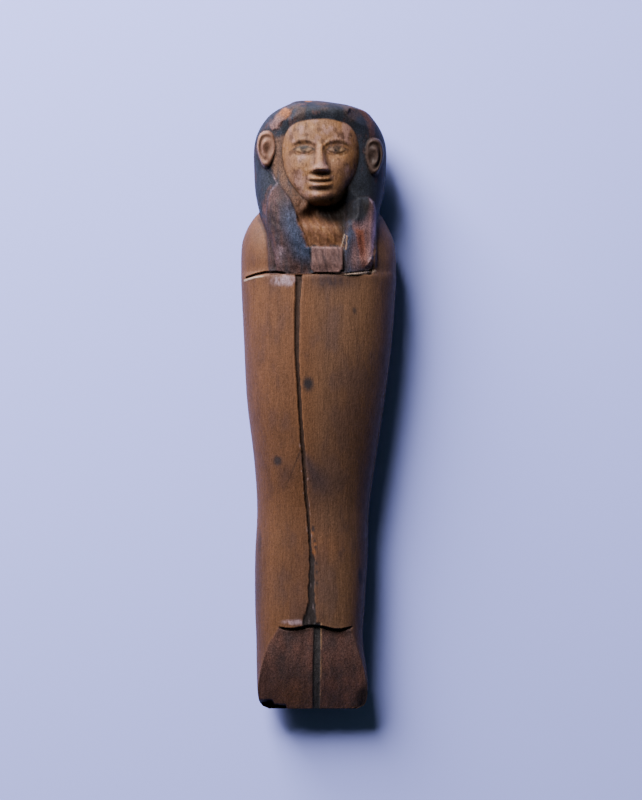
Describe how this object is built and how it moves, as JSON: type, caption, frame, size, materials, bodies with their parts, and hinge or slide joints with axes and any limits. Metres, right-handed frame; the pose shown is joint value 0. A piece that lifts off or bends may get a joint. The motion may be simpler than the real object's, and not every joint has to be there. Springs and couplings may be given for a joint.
{
  "type": "model mummy",
  "caption": "Carved wooden model mummy lying on its back: wrapped body, painted wig with lappets, calm plain face, sloping feet, a long crack and a saw cut across the chest.",
  "frame": {"origin": "on the flat back that the figure lies on, under the middle of its length and width", "axes": "+Y from the feet to the head, +Z out of the front of the figure, +X to the right of someone looking at its face"},
  "size_m": [0.051, 0.2, 0.036],
  "materials": {
    "old_wood": "matte"
  },
  "bodies": {
    "root": {"mummy_figure": "old_wood"}
  },
  "joints": []
}
